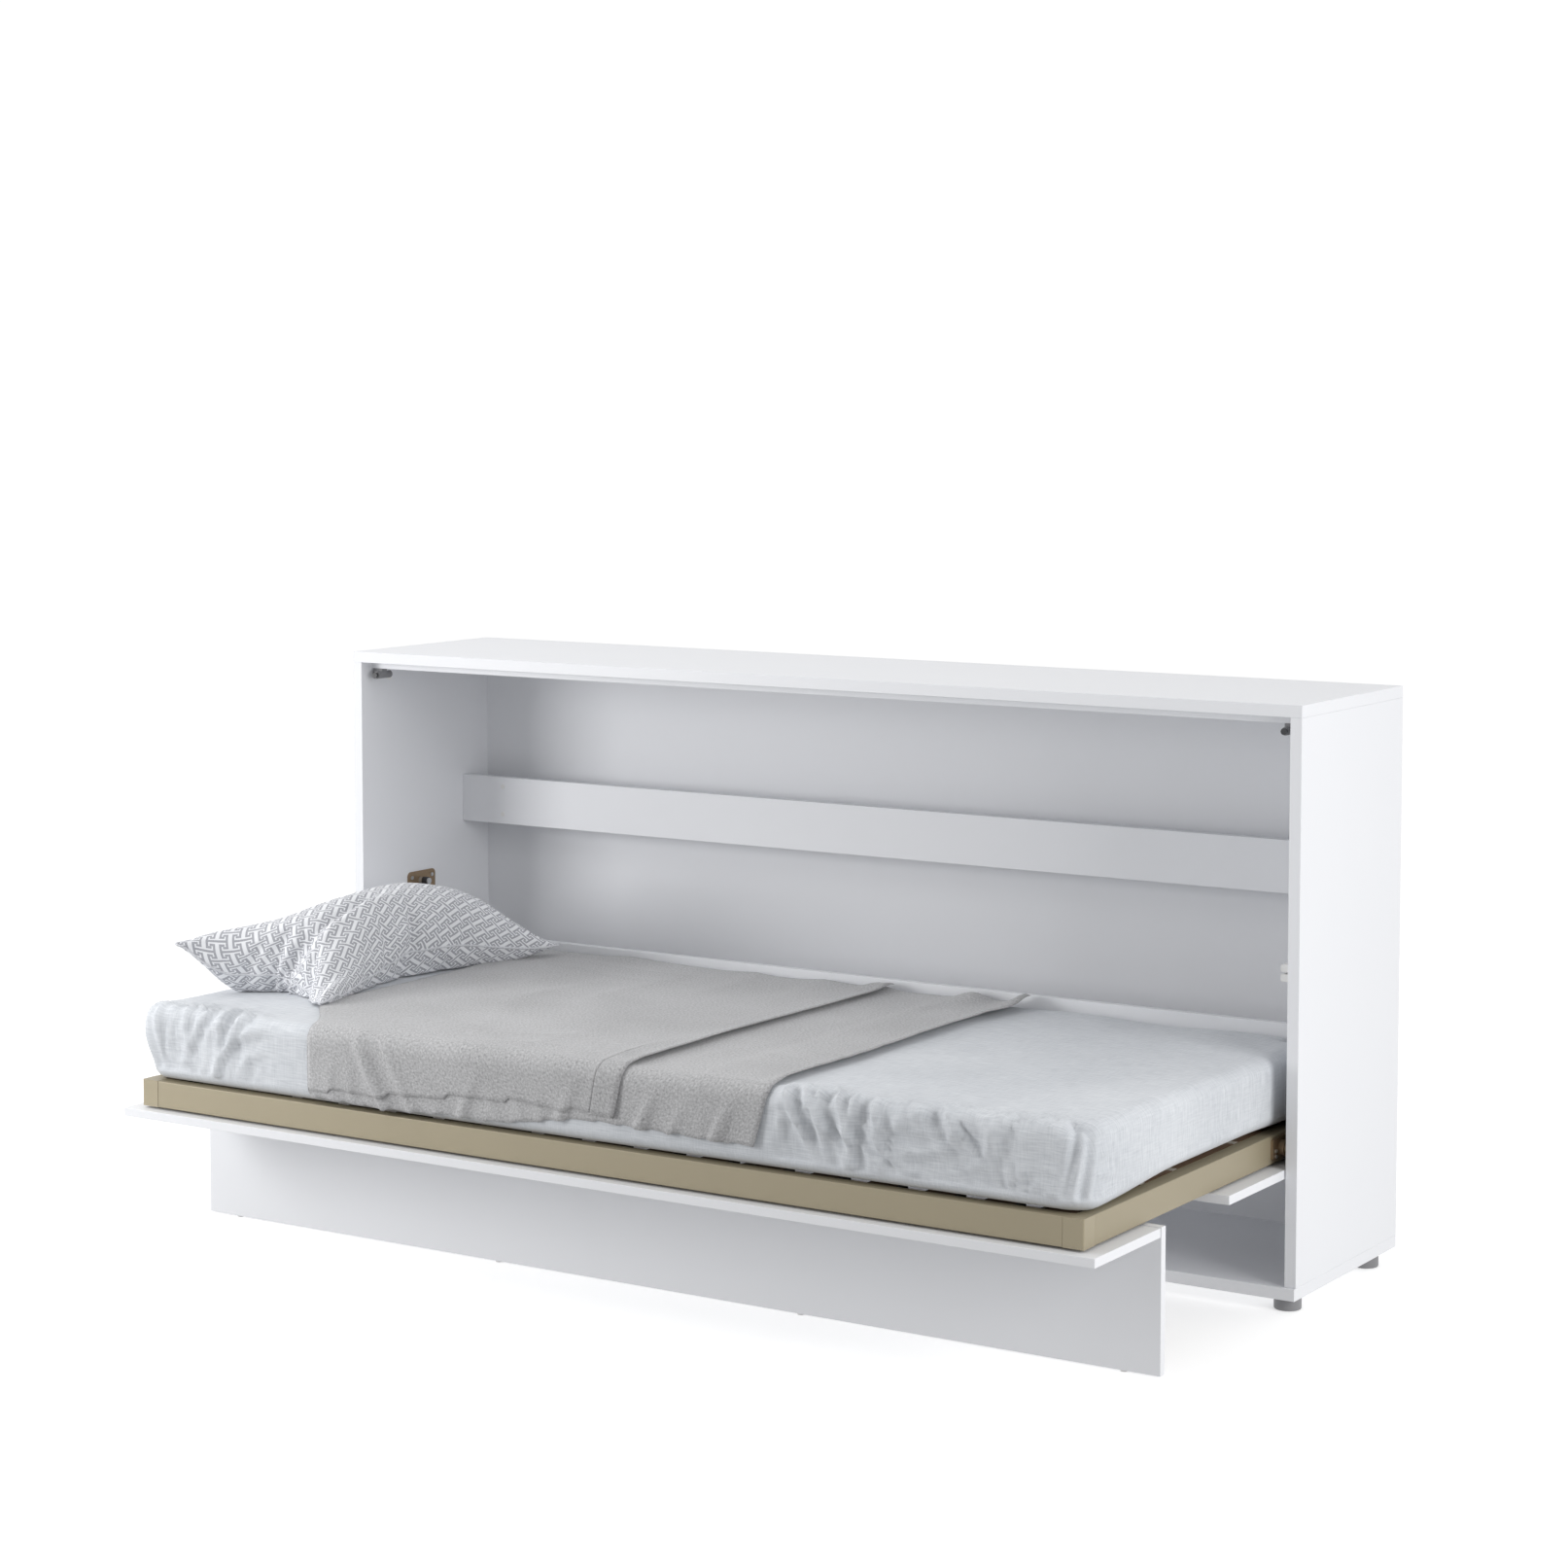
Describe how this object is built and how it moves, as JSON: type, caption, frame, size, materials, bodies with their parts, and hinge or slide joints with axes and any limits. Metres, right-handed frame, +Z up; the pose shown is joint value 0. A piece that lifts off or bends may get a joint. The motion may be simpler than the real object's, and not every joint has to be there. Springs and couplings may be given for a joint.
{
  "type": "murphy wall bed",
  "caption": "Low horizontal wall bed: a white cabinet whose split door folds down under a steel bed frame, its middle board standing as the leg; mattress, pillow and throw on slats.",
  "frame": {"origin": "on the floor, under the middle of the object's whole footprint with the bed down", "axes": "+X along the bed towards its foot end (right, seen from the front), +Y from the front towards the wall, +Z up"},
  "size_m": [2.11, 1.159, 1.066],
  "materials": {
    "white_board": "satin melamine facing",
    "white_hardboard": "satin painted hardboard",
    "grey_plastic": "matte",
    "dark_plastic": "matte",
    "bronze_steel": "satin bronze lacquer",
    "frame_paint": "matte champagne powder coat",
    "zinc_steel": "bright zinc plate",
    "dark_steel": "satin black",
    "beech": "waxed",
    "slat_wood": "stained, matte",
    "holder_rubber": "matte",
    "tape_fabric": "plain woven tape",
    "mattress_linen": "crumpled linen sheet",
    "pillow_cotton": "printed cotton, grey lattice on white",
    "throw_wool": "grey heathered wool"
  },
  "bodies": {
    "cabinet": {"top_panel": "white_board", "bottom_panel": "white_board", "side_panel_left": "white_board", "side_panel_right": "white_board", "back_sheet_upper": "white_hardboard", "back_sheet_lower": "white_hardboard", "back_sheet_joiner": "grey_plastic", "wall_rail": "white_board", "wall_rail_caps": "white_board", "top_stop_rail": "white_board", "cabinet_feet": "grey_plastic", "foot_screws": "zinc_steel", "carcass_dowels": "beech", "cam_locks": "zinc_steel", "cam_bolts": "zinc_steel", "hinge_plate_left": "bronze_steel", "hinge_plate_right": "bronze_steel", "pivot_pins": "zinc_steel", "strut_bracket_left": "bronze_steel", "strut_bracket_right": "bronze_steel", "strut_studs": "zinc_steel", "plate_screws": "zinc_steel", "latch_housings": "grey_plastic", "magnetic_catches": "grey_plastic", "wall_brackets": "zinc_steel", "wall_bracket_screws": "zinc_steel"},
    "bed": {"frame_front_tube": "frame_paint", "frame_rear_tube": "frame_paint", "frame_side_tube_left": "frame_paint", "frame_side_tube_right": "frame_paint", "frame_corners": "frame_paint", "cross_tubes": "frame_paint", "slats": "slat_wood", "slat_holders": "holder_rubber", "slat_tapes": "tape_fabric", "upper_door_board": "white_board", "lower_door_board": "white_board", "board_spacers": "grey_plastic", "board_screws": "zinc_steel", "rear_mattress_board": "white_board", "rear_board_bolts": "zinc_steel", "frame_hinge_plates": "bronze_steel", "pivot_bushes": "grey_plastic", "strut_frame_plates": "bronze_steel", "frame_plate_bolts": "zinc_steel", "leg_hinge_tabs": "bronze_steel", "mattress": "mattress_linen", "pillow": "pillow_cotton", "blanket": "throw_wool"},
    "leg": {"leg_panel": "white_board", "leg_hinge_pins": "zinc_steel", "leg_glides": "grey_plastic", "catch_strikes": "zinc_steel"},
    "gas_tube_left": {"gas_spring_tube_left": "dark_steel"},
    "gas_rod_left": {"gas_spring_rod_left": "zinc_steel"},
    "plunger_left": {"latch_plunger_left": "dark_plastic"},
    "gas_tube_right": {"gas_spring_tube_right": "dark_steel"},
    "gas_rod_right": {"gas_spring_rod_right": "zinc_steel"},
    "plunger_right": {"latch_plunger_right": "dark_plastic"}
  },
  "joints": [
    {"name": "bed_fold", "type": "hinge", "parent": "cabinet", "child": "bed", "pos_m": [0, 0.1775, 0.28], "axis": [-1, 0, 0], "range_deg": [0, 90]},
    {"name": "leg_fold", "type": "hinge", "parent": "bed", "child": "leg", "pos_m": [0, -0.336, 0.243], "axis": [1, 0, 0], "range_deg": [0, 90]},
    {"name": "spring_swing_left", "type": "hinge", "parent": "cabinet", "child": "gas_tube_left", "pos_m": [-1.016, 0.3165, 0.572], "axis": [-1, 0, 0], "range_deg": [0, 18.04]},
    {"name": "spring_extend_left", "type": "slide", "parent": "gas_tube_left", "child": "gas_rod_left", "axis": [0, 0.0034, -1], "range_m": [0, 0.162]},
    {"name": "latch_press_left", "type": "slide", "parent": "cabinet", "child": "plunger_left", "axis": [0, 1, 0], "range_m": [0, 0.003], "stiffness_N_per_m": 400, "springref_m": -0.004},
    {"name": "spring_swing_right", "type": "hinge", "parent": "cabinet", "child": "gas_tube_right", "pos_m": [1.016, 0.3165, 0.572], "axis": [-1, 0, 0], "range_deg": [0, 18.04]},
    {"name": "spring_extend_right", "type": "slide", "parent": "gas_tube_right", "child": "gas_rod_right", "axis": [0, 0.0034, -1], "range_m": [0, 0.162]},
    {"name": "latch_press_right", "type": "slide", "parent": "cabinet", "child": "plunger_right", "axis": [0, 1, 0], "range_m": [0, 0.003], "stiffness_N_per_m": 400, "springref_m": -0.004}
  ],
  "couplings": [
    {"joint": "leg_fold", "follows": "bed_fold", "ratio": 1},
    {"joint": "spring_swing_left", "follows": "bed_fold", "ratio": 0.20036},
    {"joint": "spring_extend_left", "follows": "bed_fold", "m_per_rad": 0.10301},
    {"joint": "spring_swing_right", "follows": "bed_fold", "ratio": 0.20036},
    {"joint": "spring_extend_right", "follows": "bed_fold", "m_per_rad": 0.10301}
  ]
}
